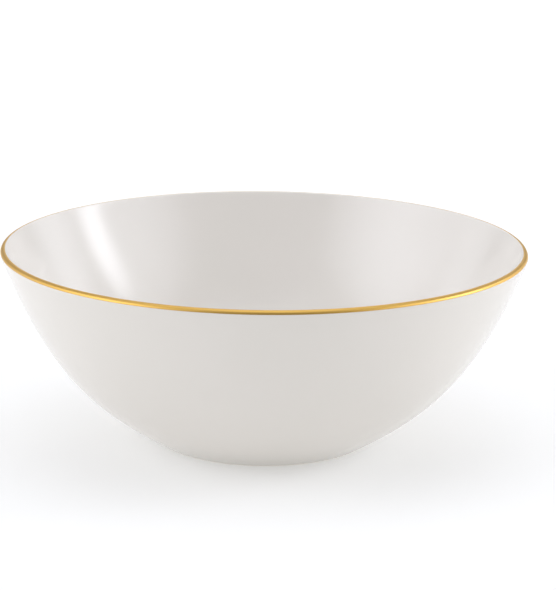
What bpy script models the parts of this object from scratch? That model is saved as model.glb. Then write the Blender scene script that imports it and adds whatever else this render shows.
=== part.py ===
"""A porcelain serving bowl with a gold line fired over its lip.

Metres, +Z up. The bowl stands on the plane Z = 0 with its axis on Z.
Every piece is turned: its half section is drawn with X as the radius and Z as the height, and a Screw
modifier turns it about Z. Two lines give the finished surface. One runs from the foot up the outside,
over the lip and down the inside to the middle of the floor. The other runs from the middle of the
underside down the inner face of the foot. Each piece is a band at a set depth below one of those lines.
"""

import math

import bpy
from mathutils import Vector
from mathutils.geometry import interpolate_bezier

# Overall size
RIM_RADIUS = 0.127  # outermost point of the lip
HEIGHT = 0.0955  # table to the top of the lip
LIP_OUTER_RADIUS = 0.0021  # rounding of the lip's outer side, the one that is gilded
LIP_INNER_RADIUS = 0.0007  # rounding of its inner side
FOOT_RADIUS = 0.0518  # where the outside meets the table
FLOOR_HEIGHT = 0.007  # table to the inside of the floor

# Outside wall: a Bezier curve from the foot to the lip
FOOT_SLOPE = math.radians(30.9)  # rise of the wall where it leaves the foot
FOOT_REACH = 0.036  # length of the curve's handle there
LIP_SLOPE = math.radians(69.2)  # rise of the wall where it meets the lip
LIP_REACH = 0.0619

# Inside wall: one curve from the lip to the turn above the foot, and one from there to the middle
INNER_LIP_REACH = 0.042
TURN = Vector((0.08175, 0, 0.02664))
TURN_SLOPE = math.radians(41.56)
TURN_REACH_UP = 0.0145
TURN_REACH_DOWN = 0.030
FLOOR_REACH = 0.038

# Underside: a shallow recess inside the foot
RECESS_RADIUS = 0.0448
RECESS_HEIGHT = 0.0027
RECESS_DRAFT = 0.0008  # how much wider the recess is at the table

# Layers
COAT = 0.0003  # thickness of the glaze and of the gold
GAP = 0.0003  # clearance between pieces that touch on the real bowl
BODY_DEPTH = COAT + GAP
BARE_FOOT = 0.0013  # length of outside wall left unglazed next to the table
BARE_FOOT_INSIDE = 0.0007  # the same on the foot's inner face
GROUND_EDGE = 0.0005  # width of the small ground edge inside the table face
GOLD_LOW = math.radians(9)  # how far up the outer rounding the gold begins, from the level
GOLD_PAST_TOP = math.radians(4)  # how far round the inner rounding it ends, from the top
FOOT_TOP = RECESS_HEIGHT + BODY_DEPTH - GAP  # the foot's joint with the floor

RUN_OUT = 0.002  # how far both lines go on below the table, so that each cut is clean
ON_AXIS = 0.000001  # anything nearer the axis counts as on it

# Facets
STEPS_AROUND = 60
OUTSIDE_POINTS = 11
LIP_OUTER_STEPS = 5
LIP_INNER_STEPS = 3
INNER_WALL_POINTS = 9
INNER_FLOOR_POINTS = 8

COLLECTION = "porcelain_serving_bowl"


def rising(angle):
    """The unit direction that rises outwards at this angle above level."""
    return Vector((math.cos(angle), 0, math.sin(angle)))


def arc(top, radius, begin, end, steps):
    """An arc of the given radius whose highest point is top, from one angle to another."""
    centre = top - Vector((0, 0, radius))
    return [centre + radius * rising(begin + (end - begin) * step / steps) for step in range(steps + 1)]


def shown_surface():
    """The glazed surface from the foot, over the lip, to the middle of the floor, and the length
    along it to where the lip's outer rounding begins."""
    foot = Vector((FOOT_RADIUS, 0, 0))
    top = Vector((RIM_RADIUS - LIP_OUTER_RADIUS, 0, HEIGHT))
    outer_rounding = arc(top, LIP_OUTER_RADIUS, LIP_SLOPE - math.pi / 2, math.pi / 2, LIP_OUTER_STEPS)
    inner_rounding = arc(top, LIP_INNER_RADIUS, math.pi / 2, LIP_SLOPE + math.pi / 2, LIP_INNER_STEPS)
    lip_outer, lip_inner = outer_rounding[0], inner_rounding[-1]
    middle = Vector((0, 0, FLOOR_HEIGHT))

    outside = interpolate_bezier(
        foot,
        foot + FOOT_REACH * rising(FOOT_SLOPE),
        lip_outer - LIP_REACH * rising(LIP_SLOPE),
        lip_outer,
        OUTSIDE_POINTS,
    )
    lip = outer_rounding[1:] + inner_rounding[1:-1]
    inner_wall = interpolate_bezier(
        lip_inner,
        lip_inner - INNER_LIP_REACH * rising(LIP_SLOPE),
        TURN + TURN_REACH_UP * rising(TURN_SLOPE),
        TURN,
        INNER_WALL_POINTS,
    )
    inner_floor = interpolate_bezier(
        TURN,
        TURN - TURN_REACH_DOWN * rising(TURN_SLOPE),
        middle + Vector((FLOOR_REACH, 0, 0)),
        middle,
        INNER_FLOOR_POINTS,
    )
    below_table = foot - RUN_OUT * rising(FOOT_SLOPE)
    up_to_lip = [below_table] + outside
    return up_to_lip + lip + inner_wall + inner_floor[1:], length(up_to_lip)


def underside():
    """The glazed surface from the middle of the underside to the inner edge of the foot."""
    corner = Vector((RECESS_RADIUS, 0, RECESS_HEIGHT))
    foot = Vector((RECESS_RADIUS + RECESS_DRAFT, 0, 0))
    below_table = foot + RUN_OUT * (foot - corner).normalized()
    return [Vector((0, 0, RECESS_HEIGHT)), corner, below_table]


def length(line):
    return sum((b - a).length for a, b in zip(line, line[1:]))


def stretch(line, begin, end):
    """The part of a line between two lengths along it."""
    kept, travelled = [], 0.0
    for a, b in zip(line, line[1:]):
        step = (b - a).length
        low = max(0.0, (begin - travelled) / step)
        high = min(1.0, (end - travelled) / step)
        if low < high:
            if not kept:
                kept.append(a.lerp(b, low))
            kept.append(a.lerp(b, high))
        travelled += step
    return kept


def between(line, low, high):
    """The part of a line whose height lies between low and high. It must be one unbroken part."""
    kept = []
    for a, b in zip(line, line[1:]):
        rise = b.z - a.z
        cuts = [(height - a.z) / rise for height in (low, high)] if rise else []
        stops = [0.0] + sorted(cut for cut in cuts if 0 < cut < 1) + [1.0]
        for near, far in zip(stops, stops[1:]):
            if low < a.lerp(b, (near + far) / 2).z < high:
                if not kept:
                    kept.append(a.lerp(b, near))
                kept.append(a.lerp(b, far))
    return kept


def at_depth(line, depth):
    """The line moved to its left, into the material, with mitred corners."""
    normals = []
    for a, b in zip(line, line[1:]):
        along = (b - a).normalized()
        normals.append(Vector((-along.z, 0, along.x)))
    moved = []
    for point, before, after in zip(line, normals[:1] + normals, normals + normals[-1:]):
        place = point + depth * (before + after) / (1 + before.dot(after))
        if point.x < ON_AXIS:
            place.x = 0  # the middle stays on the axis
        moved.append(place)
    return moved


def coat(line):
    """The half section of a thin layer that lies on a stretch of the surface."""
    deep = at_depth(line, COAT)
    starts_on_axis = line[0].x < ON_AXIS
    return deep + line[::-1] if starts_on_axis else line[::-1] + deep


def turned(name, section, material):
    """An object turned about Z from its half section, which runs down its outer side. A section
    that starts on the axis ends there too, and any other is closed to a loop."""
    count = len(section)
    edges = [(i, i + 1) for i in range(count - 1)]
    if section[0].x > ON_AXIS:
        edges.append((count - 1, 0))
    mesh = bpy.data.meshes.new(name)
    mesh.from_pydata(section, edges, [])
    piece = bpy.data.objects.new(name, mesh)
    bpy.data.collections[COLLECTION].objects.link(piece)
    screw = piece.modifiers.new("turn", "SCREW")
    screw.axis = "Z"
    screw.steps = screw.render_steps = STEPS_AROUND
    screw.use_merge_vertices = True
    screw.merge_threshold = 0.00001
    screw.use_smooth_shade = True
    mesh.materials.append(material)
    return piece


def finish(name, colour, roughness, metallic=0.0):
    material = bpy.data.materials.new(name)
    material.use_nodes = True
    shader = material.node_tree.nodes["Principled BSDF"]
    shader.inputs["Base Color"].default_value = (*colour, 1)
    shader.inputs["Roughness"].default_value = roughness
    shader.inputs["Metallic"].default_value = metallic
    return material


def add_body(surface, below):
    """The wall and floor, one shell that thins to the lip and is open at neither end."""
    wall = between(at_depth(surface, BODY_DEPTH), at_depth(below, BODY_DEPTH)[0].z, HEIGHT)
    section = wall[::-1] + [Vector((0, 0, wall[0].z))]
    turned("porcelain_body", section, finish("fired_porcelain", (0.93, 0.92, 0.89), 0.45))


def add_foot_ring(surface, below):
    """The ring that carries the bowl. Its outer face goes on from the wall down to the table."""
    outer = between(at_depth(surface, BODY_DEPTH), 0, FOOT_TOP)
    inner = between(at_depth(below, BODY_DEPTH), 0, FOOT_TOP)
    top, bottom = inner[0], inner[-1]
    ground = [bottom + Vector((GROUND_EDGE, 0, 0)), bottom + Vector((0, 0, GROUND_EDGE))]
    section = outer[::-1] + ground + [top]
    turned("foot_ring", section, finish("bare_porcelain", (0.88, 0.86, 0.81), 0.75))


def add_glaze(surface, below, gold_begins, gold_ends):
    """Three coats of clear glaze: outside, inside, and under the floor."""
    clear = finish("clear_glaze", (0.95, 0.945, 0.93), 0.12)
    outside = stretch(surface, RUN_OUT + BARE_FOOT, gold_begins - GAP)
    turned("exterior_glaze", coat(outside), clear)
    inside = stretch(surface, gold_ends + GAP, length(surface))
    turned("interior_glaze", coat(inside), clear)
    under = stretch(below, 0, length(below) - RUN_OUT - BARE_FOOT_INSIDE)
    turned("base_glaze", coat(under), clear)


def add_gold(surface, gold_begins, gold_ends):
    """The gold line, over the outer rounding of the lip and just past its top."""
    gold = finish("burnished_gold", (0.83, 0.58, 0.20), 0.25, metallic=1.0)
    turned("gold_rim_band", coat(stretch(surface, gold_begins, gold_ends)), gold)


def main():
    for leftover in list(bpy.data.objects):
        bpy.data.objects.remove(leftover)
    bpy.context.scene.collection.children.link(bpy.data.collections.new(COLLECTION))

    surface, lip_begins = shown_surface()
    below = underside()
    up_to_level = math.pi / 2 - LIP_SLOPE
    gold_begins = lip_begins + LIP_OUTER_RADIUS * (up_to_level + GOLD_LOW)
    top_of_lip = lip_begins + LIP_OUTER_RADIUS * (up_to_level + math.pi / 2)
    gold_ends = top_of_lip + LIP_INNER_RADIUS * GOLD_PAST_TOP
    add_body(surface, below)
    add_foot_ring(surface, below)
    add_glaze(surface, below, gold_begins, gold_ends)
    add_gold(surface, gold_begins, gold_ends)


main()
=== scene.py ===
import math
import bpy
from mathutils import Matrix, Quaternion, Vector
from mathutils.geometry import interpolate_bezier


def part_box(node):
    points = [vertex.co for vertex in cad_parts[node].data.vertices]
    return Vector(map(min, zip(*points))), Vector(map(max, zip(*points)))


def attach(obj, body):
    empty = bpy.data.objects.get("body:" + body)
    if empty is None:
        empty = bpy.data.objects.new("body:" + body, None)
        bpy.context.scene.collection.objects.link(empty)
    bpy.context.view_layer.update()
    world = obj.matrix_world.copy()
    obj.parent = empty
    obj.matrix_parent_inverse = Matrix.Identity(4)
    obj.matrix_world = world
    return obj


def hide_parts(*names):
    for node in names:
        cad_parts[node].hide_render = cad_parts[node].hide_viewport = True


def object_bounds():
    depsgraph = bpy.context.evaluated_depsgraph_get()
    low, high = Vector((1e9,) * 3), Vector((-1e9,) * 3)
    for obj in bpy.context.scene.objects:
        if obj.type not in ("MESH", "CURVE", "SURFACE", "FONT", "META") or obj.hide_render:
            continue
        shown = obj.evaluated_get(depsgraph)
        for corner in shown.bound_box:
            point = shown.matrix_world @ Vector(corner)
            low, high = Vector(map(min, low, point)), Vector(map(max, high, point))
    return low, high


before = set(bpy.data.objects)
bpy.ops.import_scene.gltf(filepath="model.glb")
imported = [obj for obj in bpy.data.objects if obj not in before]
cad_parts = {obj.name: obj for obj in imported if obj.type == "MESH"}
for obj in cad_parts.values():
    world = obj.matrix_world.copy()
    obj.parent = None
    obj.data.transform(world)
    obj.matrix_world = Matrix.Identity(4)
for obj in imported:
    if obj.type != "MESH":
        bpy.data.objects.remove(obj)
cadLow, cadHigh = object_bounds()

glazeThickness = 0.0003

# the bowl's half section: X is the radius and Z the height, in metres
# a slope is in degrees above level, and a reach is how far a curve keeps to its slope
bowl = {
    "rimRadius": cadHigh.x,
    "height": cadHigh.z,
    "lipOuterRadius": 0.0021,    # the lip is rounder outside, where it is gilded
    "lipInnerRadius": 0.0007,
    "footRadius": 0.0518,        # where the wall meets the table
    "footSlope": 30.9,           # where the wall leaves the foot
    "footReach": 0.036,
    "lipSlope": 69.2,
    "lipReach": 0.0619,
    "innerLipReach": 0.042,
    "turn": Vector((0.08175, 0, 0.02664)),  # where the inner wall turns into the floor
    "turnSlope": 41.56,
    "turnReachUp": 0.0145,
    "turnReachDown": 0.030,
    "floorHeight": 0.007,
    "floorReach": 0.038,
    "recessRadius": 0.0448,
    "recessHeight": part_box("base_glaze")[1].z - glazeThickness,
    "recessDraft": 0.0008,
    "recessFillet": 0.0014,
    "filletReach": 0.55,         # as a share of the way to the corner
    "filletRoom": 0.0005,        # the level line ends at least this far from the fillet
    "footTop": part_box("foot_ring")[1].z,
    "runOut": 0.002,             # both lines go on below the table, so that the cuts are clean
}

# straight steps along each stretch of the section, and facets round the axis
steps = {
    "outside": 72, "outerRound": 16, "innerRound": 8, "wall": 48, "floor": 44,
    "recess": 24, "fillet": 10, "round": 256,
}
axisWidth = 1e-9       # a point nearer the axis than this is on it
mergeWithin = 0.000002
sharpAngle = math.radians(42)


def rising(degrees):
    angle = math.radians(degrees)
    return Vector((math.cos(angle), 0, math.sin(angle)))


def lengthOf(line):
    return sum((b - a).length for a, b in zip(line, line[1:]))


# a round whose highest point is top, between two angles in degrees
def arc(top, radius, begin, end, steps):
    centre = top - Vector((0, 0, radius))
    return [centre + radius * rising(begin + (end - begin) * i / steps) for i in range(steps + 1)]


# from below the foot, up the outside, over the lip and down to the middle of the floor
def shownLine():
    foot = Vector((bowl["footRadius"], 0, 0))
    middle = Vector((0, 0, bowl["floorHeight"]))
    up = rising(bowl["lipSlope"])
    top = Vector((bowl["rimRadius"] - bowl["lipOuterRadius"], 0, bowl["height"]))
    outerRound = arc(top, bowl["lipOuterRadius"], bowl["lipSlope"] - 90, 90, steps["outerRound"])
    innerRound = arc(top, bowl["lipInnerRadius"], 90, bowl["lipSlope"] + 90, steps["innerRound"])
    lipOuter, lipInner = outerRound[0], innerRound[-1]
    leaving, turning = rising(bowl["footSlope"]), rising(bowl["turnSlope"])
    turn = bowl["turn"]
    outside = interpolate_bezier(
        foot, foot + bowl["footReach"] * leaving,
        lipOuter - bowl["lipReach"] * up, lipOuter, steps["outside"])
    wall = interpolate_bezier(
        lipInner, lipInner - bowl["innerLipReach"] * up,
        turn + bowl["turnReachUp"] * turning, turn, steps["wall"])
    floor = interpolate_bezier(
        turn, turn - bowl["turnReachDown"] * turning,
        middle + Vector((bowl["floorReach"], 0, 0)), middle, steps["floor"])
    upToLip = [foot - bowl["runOut"] * leaving] + outside
    upToTop = upToLip + outerRound[1:]
    marks = {"lip": lengthOf(upToLip), "top": lengthOf(upToTop)}
    return upToTop + innerRound[1:] + wall[1:] + floor[1:], marks


# from the middle of the underside to the inner edge of the foot, with a fillet in the corner
def hiddenLine():
    corner = Vector((bowl["recessRadius"], 0, bowl["recessHeight"]))
    foot = Vector((bowl["recessRadius"] + bowl["recessDraft"], 0, 0))
    down = (foot - corner).normalized()
    start = corner - Vector((bowl["recessFillet"], 0, 0))
    end = corner + bowl["recessFillet"] * down
    level = [Vector((corner.x * i / steps["recess"], 0, corner.z)) for i in range(steps["recess"])]
    level = [p for p in level if p.x < start.x - bowl["filletRoom"]]
    reach = bowl["filletReach"]
    fillet = interpolate_bezier(
        start, start.lerp(corner, reach), end.lerp(corner, reach), end, steps["fillet"])
    return level + fillet + [foot + bowl["runOut"] * down]


# the part of a line between two distances along it
def stretch(line, begin, end):
    kept, travelled = [], 0.0
    for a, b in zip(line, line[1:]):
        step = (b - a).length
        low = max(0.0, (begin - travelled) / step)
        high = min(1.0, (end - travelled) / step)
        if low < high:
            if not kept:
                kept.append(a.lerp(b, low))
            kept.append(a.lerp(b, high))
        travelled += step
    return kept


# the part of a line between two heights
def between(line, low, high):
    kept = []
    for a, b in zip(line, line[1:]):
        rise = b.z - a.z
        cuts = [(level - a.z) / rise for level in (low, high)] if rise else []
        stops = [0.0] + sorted(c for c in cuts if 0 < c < 1) + [1.0]
        for near, far in zip(stops, stops[1:]):
            if low < a.lerp(b, (near + far) / 2).z < high:
                if not kept:
                    kept.append(a.lerp(b, near))
                kept.append(a.lerp(b, far))
    return kept


# the line moved to its left, which is into the porcelain
def atDepth(line, depth):
    normals = []
    for a, b in zip(line, line[1:]):
        along = (b - a).normalized()
        normals.append(Vector((-along.z, 0, along.x)))
    moved = []
    for point, before, after in zip(line, normals[:1] + normals, normals + normals[-1:]):
        place = point + depth * (before + after) / (1 + before.dot(after))
        if point.x < axisWidth:
            place.x = 0
        moved.append(place)
    return moved


# the section of a coat on a line, between two depths
def coat(line, outer, inner):
    top, deep = atDepth(line, outer), atDepth(line, inner)
    return deep + top[::-1] if line[0].x < axisWidth else top[::-1] + deep


# a point extruded along the half section, spun about Z, with its corners rounded
def turned(name, section, rounding):
    # a section that doesn't begin on the axis is closed on itself
    path = section if section[0].x < axisWidth else section + section[:1]
    bpy.ops.object.select_all(action="DESELECT")
    bpy.ops.mesh.primitive_plane_add(size=0.001, location=path[0])
    piece = bpy.context.object
    piece.name = piece.data.name = name
    bpy.ops.object.transform_apply(location=True)
    bpy.ops.object.mode_set(mode="EDIT")
    bpy.ops.mesh.select_all(action="SELECT")
    bpy.ops.mesh.merge(type="CENTER")
    for a, b in zip(path, path[1:]):
        bpy.ops.mesh.extrude_region_move(TRANSFORM_OT_translate={"value": b - a})
    bpy.ops.mesh.select_all(action="SELECT")
    bpy.ops.mesh.spin(steps=steps["round"], angle=math.tau, center=(0, 0, 0), axis=(0, 0, 1))
    bpy.ops.mesh.select_all(action="SELECT")
    bpy.ops.mesh.remove_doubles(threshold=mergeWithin)
    bpy.ops.mesh.normals_make_consistent(inside=False)
    bpy.ops.object.mode_set(mode="OBJECT")
    if rounding:
        bevel = piece.modifiers.new("rounding", "BEVEL")
        bevel.width = rounding
        bevel.segments = 3
        bevel.limit_method = "ANGLE"
        bevel.angle_limit = math.radians(40)     # only the section's own corners
        bpy.ops.object.modifier_apply(modifier=bevel.name)
    bpy.ops.object.shade_smooth_by_angle(angle=sharpAngle)
    print(name, len(piece.data.polygons), "faces")
    return piece


# a hex colour as sRGB, turned to linear light
def toLinear(code):
    channels = [int(code[i:i + 2], 16) / 255 for i in (1, 3, 5)]
    return [c / 12.92 if c < 0.04045 else ((c + 0.055) / 1.055) ** 2.4 for c in channels] + [1]


def addNode(tree, kind, settings, links=None):
    node = tree.nodes.new("ShaderNode" + kind)
    for name, value in settings.items():
        if isinstance(name, int) or name in node.inputs:
            node.inputs[name].default_value = value
        else:
            setattr(node, name, value)
    for name, source in (links or {}).items():
        tree.links.new(source, node.inputs[name])
    return node


def newMaterial(name, fixed):
    material = bpy.data.materials.new(name)
    material.use_nodes = True
    shader = material.node_tree.nodes["Principled BSDF"]
    for socket, value in fixed.items():
        shader.inputs[socket].default_value = value
    return material, material.node_tree, shader


glazeLook = {
    # the third colour is the darker glaze at the foot, partly pooled glaze and partly painted shade from
    # the table
    "white": "#E6E1DB", "cool": "#E0DCD5", "pooledAndShaded": "#DCD9D3",
    "ior": 1.5,
    "roughness": 0.15, "smoother": 0.015, "duller": 0.02,
    "cloudSize": 0.060,                          # soft differences in the body's whiteness, metres
    "waveSize": 0.038, "waveDepth": 0.00012,     # long waves left by the turning tool
    "peelSize": 0.0035, "peelDepth": 0.000004,   # the glaze's orange peel
    "poolAndShadeTop": 0.014, "poolAndShadeBottom": 0.002, "poolAndShadeShare": 0.6,   # the glaze is darker down at the foot, partly pooled glaze and partly painted shade near the table
}


# clear feldspar glaze over porcelain: a near-white body under a smooth glassy coat
def clearGlaze():
    look = glazeLook
    material, tree, shader = newMaterial("clearFeldsparGlaze", {"IOR": look["ior"]})
    place = addNode(tree, "TexCoord", {}).outputs["Object"]
    cloud = addNode(tree, "TexNoise", {"Scale": 1 / look["cloudSize"], "Detail": 2.0}, {"Vector": place})
    tone = addNode(tree, "Mix", {
        "data_type": "RGBA", 6: toLinear(look["white"]), 7: toLinear(look["cool"]),
    }, {0: cloud.outputs["Fac"]})
    height = addNode(tree, "SeparateXYZ", {}, {"Vector": place}).outputs["Z"]
    # painted shade: the colour darkens with height towards the foot, partly thicker pooled glaze and partly
    # shade from the table
    poolAndShade = addNode(tree, "MapRange", {
        "From Min": look["poolAndShadeTop"], "From Max": look["poolAndShadeBottom"], "To Max": look["poolAndShadeShare"],
    }, {"Value": height})
    colour = addNode(tree, "Mix", {
        "data_type": "RGBA", 7: toLinear(look["pooledAndShaded"]),
    }, {0: poolAndShade.outputs["Result"], 6: tone.outputs[2]})
    tree.links.new(colour.outputs[2], shader.inputs["Base Color"])
    rough = addNode(tree, "MapRange", {
        "To Min": look["roughness"] - look["smoother"], "To Max": look["roughness"] + look["duller"],
    }, {"Value": cloud.outputs["Fac"]})
    tree.links.new(rough.outputs["Result"], shader.inputs["Roughness"])
    wave = addNode(tree, "TexNoise", {"Scale": 1 / look["waveSize"], "Detail": 1.0}, {"Vector": place})
    peel = addNode(tree, "TexNoise", {"Scale": 1 / look["peelSize"], "Detail": 1.0}, {"Vector": place})
    waves = addNode(tree, "Bump", {
        "Strength": 1.0, "Distance": look["waveDepth"],
    }, {"Height": wave.outputs["Fac"]})
    both = addNode(tree, "Bump", {
        "Strength": 1.0, "Distance": look["peelDepth"],
    }, {"Height": peel.outputs["Fac"], "Normal": waves.outputs["Normal"]})
    tree.links.new(both.outputs["Normal"], shader.inputs["Normal"])
    return material


goldLook = {
    "gold": "#DBB461", "thin": "#C69C50",
    "roughness": 0.43, "smoother": 0.08, "duller": 0.1,
    "strokeLength": 0.025, "strokeWidth": 0.0004, "strokeDepth": 0.00001,    # metres
}


# burnished gold, painted on, fired matt and rubbed to a soft satin, with faint strokes along the lip
def burnishedGold():
    look = goldLook
    material, tree, shader = newMaterial("firedBurnishedGold", {"Metallic": 1.0})
    place = addNode(tree, "TexCoord", {}).outputs["Object"]
    along, across = 1 / look["strokeLength"], 1 / look["strokeWidth"]
    strokes = addNode(tree, "Mapping", {"Scale": (along, along, across)}, {"Vector": place})
    brush = addNode(tree, "TexNoise", {"Scale": 1.0, "Detail": 3.0}, {"Vector": strokes.outputs["Vector"]})
    tone = addNode(tree, "Mix", {
        "data_type": "RGBA", 6: toLinear(look["gold"]), 7: toLinear(look["thin"]),
    }, {0: brush.outputs["Fac"]})
    tree.links.new(tone.outputs[2], shader.inputs["Base Color"])
    rough = addNode(tree, "MapRange", {
        "To Min": look["roughness"] - look["smoother"], "To Max": look["roughness"] + look["duller"],
    }, {"Value": brush.outputs["Fac"]})
    tree.links.new(rough.outputs["Result"], shader.inputs["Roughness"])
    bump = addNode(tree, "Bump", {
        "Strength": 1.0, "Distance": look["strokeDepth"],
    }, {"Height": brush.outputs["Fac"]})
    tree.links.new(bump.outputs["Normal"], shader.inputs["Normal"])
    return material


porcelainLook = {
    "pale": "#EFEBE2", "grey": "#E2DCD0", "ior": 1.5, "smooth": 0.55, "rough": 0.75,
    "grainSize": 0.0008, "grainDepth": 0.00003, "grainStrength": 0.5,    # metres
}


# fired porcelain without glaze: matt, slightly warm, sugary grain
def firedPorcelain():
    look = porcelainLook
    material, tree, shader = newMaterial("firedPorcelain", {"IOR": look["ior"]})
    place = addNode(tree, "TexCoord", {}).outputs["Object"]
    grain = addNode(tree, "TexNoise", {"Scale": 1 / look["grainSize"], "Detail": 3.0}, {"Vector": place})
    tone = addNode(tree, "Mix", {
        "data_type": "RGBA", 6: toLinear(look["pale"]), 7: toLinear(look["grey"]),
    }, {0: grain.outputs["Fac"]})
    tree.links.new(tone.outputs[2], shader.inputs["Base Color"])
    rough = addNode(tree, "MapRange", {
        "To Min": look["smooth"], "To Max": look["rough"],
    }, {"Value": grain.outputs["Fac"]})
    tree.links.new(rough.outputs["Result"], shader.inputs["Roughness"])
    bump = addNode(tree, "Bump", {
        "Strength": look["grainStrength"], "Distance": look["grainDepth"],
    }, {"Height": grain.outputs["Fac"]})
    tree.links.new(bump.outputs["Normal"], shader.inputs["Normal"])
    return material


view = {
    "distance": 1.2, "elevation": 13.15, "roll": 0.69,
    "lens": 151.4, "sensor": 36,
    "aimRight": 0.0068, "aimDown": 0.02421,   # where the middle of the frame falls, from the rim's centre
}
elevation = math.radians(view["elevation"])
forward = Vector((0, math.cos(elevation), -math.sin(elevation)))
upward = Vector((0, math.sin(elevation), math.cos(elevation)))
rimCentre = Vector((0, 0, cadHigh.z))
standing = rimCentre - view["distance"] * forward
aim = rimCentre + Vector((view["aimRight"], 0, 0)) - view["aimDown"] * upward
cameraData = bpy.data.cameras.new("camera")
cameraData.lens = view["lens"]
cameraData.sensor_width = view["sensor"]
camera = bpy.data.objects.new("camera", cameraData)
camera.location = standing
camera.rotation_mode = "QUATERNION"
rolled = Quaternion((0, 0, 1), math.radians(view["roll"]))
camera.rotation_quaternion = (aim - standing).to_track_quat("-Z", "Y") @ rolled
bpy.context.scene.collection.objects.link(camera)
bpy.context.scene.camera = camera
bpy.context.scene.view_settings.view_transform = "Standard"
print("camera ready")

# an acrylic table lit from below, large panels at both sides and a small softbox for the sharp highlight
studio = {
    "tableColour": "#CDCDCC", "tableRadius": 12.0, "tableRoughness": 0.9, "tableGloss": 0.2,
    "tableGlow": 0.36, "farGlow": 0.72, "glowFrom": 0.35, "glowTo": 1.8,
    # heights in the world are of a unit direction
    "skyStrength": 0.25, "horizonStrength": 0.52, "paleBelow": 0.04, "dimAbove": 0.16,
    "backdrop": 0.97,
    "panelTint": "#F6F8FF",
    "lights": [
        # name, azimuth from +Y towards +X, elevation, distance, width, height, watts
        ("overheadPanel", 0, 88, 1.7, 2.2, 2.2, 12.6),
        ("rearPanel", 0, 35, 1.8, 2.4, 1.4, 7.0),
        ("leftPanel", -107, 32, 1.6, 2.1, 1.3, 13.8),
        ("rightPanel", 104, 31, 1.6, 1.8, 1.3, 8.6),
        ("leftRearPanel", -62, 18, 1.6, 1.2, 0.8, 2.2),
        ("rightRearPanel", 60, 18, 1.6, 1.2, 0.8, 3.4),
        ("rightSoftbox", 84, 25, 1.5, 0.42, 0.75, 3.4),
    ],
}


# a panel is brightest in its middle and fades to its edges
def softEdges(lamp):
    lamp.use_nodes = True
    tree = lamp.node_tree
    across = addNode(tree, "NewGeometry", {}).outputs["Parametric"]
    rest = addNode(tree, "VectorMath", {"operation": "SUBTRACT", 0: (1, 1, 1)}, {1: across})
    bell = addNode(tree, "VectorMath", {"operation": "MULTIPLY"}, {0: across, 1: rest.outputs[0]})
    sides = addNode(tree, "SeparateXYZ", {}, {"Vector": bell.outputs[0]})
    both = addNode(tree, "Math", {"operation": "MULTIPLY"}, {0: sides.outputs["X"], 1: sides.outputs["Y"]})
    # the mean of x(1 - x) is a sixth, so 36 keeps the panel's power
    full = addNode(tree, "Math", {"operation": "MULTIPLY", 1: 36}, {0: both.outputs[0]})
    tree.links.new(full.outputs[0], tree.nodes["Emission"].inputs["Strength"])


def addTable():
    bpy.ops.object.select_all(action="DESELECT")
    bpy.ops.mesh.primitive_circle_add(vertices=128, radius=studio["tableRadius"], fill_type="NGON")
    table = bpy.context.object
    table.name = "studioTable"
    material, tree, shader = newMaterial("opalAcrylic", {
        "Base Color": toLinear(studio["tableColour"]), "Emission Color": (1, 1, 1, 1),
        "Roughness": studio["tableRoughness"], "Specular IOR Level": studio["tableGloss"],
    })
    # the panels only reach so far, so the table glows more beyond them
    place = addNode(tree, "TexCoord", {}).outputs["Object"]
    away = addNode(tree, "VectorMath", {"operation": "LENGTH"}, {0: place}).outputs["Value"]
    glow = addNode(tree, "MapRange", {
        "interpolation_type": "SMOOTHSTEP", "From Min": studio["glowFrom"], "From Max": studio["glowTo"],
        "To Min": studio["tableGlow"], "To Max": studio["farGlow"],
    }, {"Value": away})
    tree.links.new(glow.outputs["Result"], shader.inputs["Emission Strength"])
    table.data.materials.append(material)


def addPanels():
    target = Vector((0, 0, cadHigh.z / 2))
    for name, azimuth, height, distance, width, tall, watts in studio["lights"]:
        lamp = bpy.data.lights.new(name, "AREA")
        lamp.shape = "RECTANGLE"
        lamp.size, lamp.size_y, lamp.energy = width, tall, watts
        lamp.color = toLinear(studio["panelTint"])[:3]
        softEdges(lamp)
        light = bpy.data.objects.new(name, lamp)
        a, e = math.radians(azimuth), math.radians(height)
        towards = Vector((math.sin(a) * math.cos(e), math.cos(a) * math.cos(e), math.sin(e)))
        light.location = target + distance * towards
        light.rotation_euler = (-towards).to_track_quat("-Z", "Y").to_euler()
        bpy.context.scene.collection.objects.link(light)


# a dim room that is pale only along the horizon
def addRoom():
    world = bpy.data.worlds.new("studio")
    world.use_nodes = True
    tree = world.node_tree
    direction = addNode(tree, "TexCoord", {}).outputs["Generated"]
    height = addNode(tree, "SeparateXYZ", {}, {"Vector": direction}).outputs["Z"]
    pale = addNode(tree, "MapRange", {
        "interpolation_type": "SMOOTHSTEP", "From Min": studio["dimAbove"], "From Max": studio["paleBelow"],
        "To Min": studio["skyStrength"], "To Max": studio["skyStrength"] + studio["horizonStrength"],
    }, {"Value": height})
    # straight behind the bowl the camera sees the same pale tone as the far table, so no horizon shows
    seen = addNode(tree, "LightPath", {}).outputs["Is Camera Ray"]
    room = addNode(tree, "Mix", {
        "data_type": "FLOAT", 3: studio["backdrop"],
    }, {0: seen, 2: pale.outputs["Result"]})
    tree.links.new(room.outputs[0], tree.nodes["Background"].inputs["Color"])
    bpy.context.scene.world = world


shown, marks = shownLine()
hidden = hiddenLine()
crown = (marks["lip"] + marks["top"]) / 2     # the two glazes meet here, under the gold


def finishPiece(piece, material, node):
    piece.data.materials.append(material)
    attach(piece, "root")
    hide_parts(node)


addTable()
addPanels()
addRoom()
print("studio ready")

glazeMaterial = clearGlaze()

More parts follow.
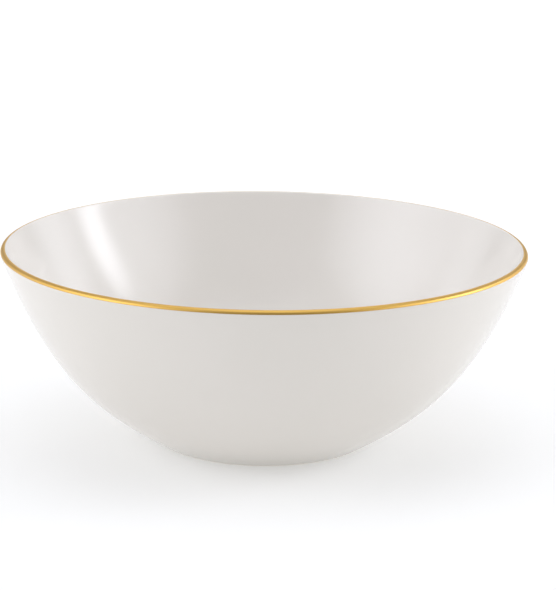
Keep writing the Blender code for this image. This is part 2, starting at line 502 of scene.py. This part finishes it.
# the glaze outside, from under the gold down to the foot
outsideCoat = {"bareFoot": 0.0013, "rounding": 0.00013}
line = stretch(shown, bowl["runOut"] + outsideCoat["bareFoot"], crown)
piece = turned("exteriorGlaze", coat(line, 0, glazeThickness), outsideCoat["rounding"])
finishPiece(piece, glazeMaterial, "exterior_glaze")

# the glaze inside, from under the gold to the middle of the floor
insideCoat = {"rounding": 0.0001}
line = stretch(shown, crown, lengthOf(shown))
piece = turned("interiorGlaze", coat(line, 0, glazeThickness), insideCoat["rounding"])
finishPiece(piece, glazeMaterial, "interior_glaze")

# the glaze on the underside, up to the bare foot
underCoat = {"bareFoot": 0.0007, "rounding": 0.00013}
line = stretch(hidden, 0, lengthOf(hidden) - bowl["runOut"] - underCoat["bareFoot"])
piece = turned("baseGlaze", coat(line, 0, glazeThickness), underCoat["rounding"])
finishPiece(piece, glazeMaterial, "base_glaze")

# the gold: film is its height above the glaze, low and pastTop are degrees round the lip's two roundings
gilding = {"film": 0.00004, "low": 13, "pastTop": 4, "rounding": 0.00003}
low = marks["lip"] + bowl["lipOuterRadius"] * math.radians(90 - bowl["lipSlope"] + gilding["low"])
high = marks["top"] + bowl["lipInnerRadius"] * math.radians(gilding["pastTop"])
line = stretch(shown, low, high)
piece = turned("goldRimBand", coat(line, -gilding["film"], gilding["film"]), gilding["rounding"])
finishPiece(piece, burnishedGold(), "gold_rim_band")

# the porcelain under the glaze, from the lip down to the top of the foot
body = {"rounding": 0}
wall = between(atDepth(shown, glazeThickness), bowl["footTop"], bowl["height"])
piece = turned("porcelainBody", wall[::-1] + [Vector((0, 0, bowl["footTop"]))], body["rounding"])
finishPiece(piece, firedPorcelain(), "porcelain_body")

# the foot ring, bare where it meets the table
ring = {"rounding": 0.0004}
outer = between(atDepth(shown, glazeThickness), 0, bowl["footTop"])
inner = between(atDepth(hidden, glazeThickness), 0, bowl["footTop"])
piece = turned("footRing", outer[::-1] + inner[::-1], ring["rounding"])
finishPiece(piece, firedPorcelain(), "foot_ring")
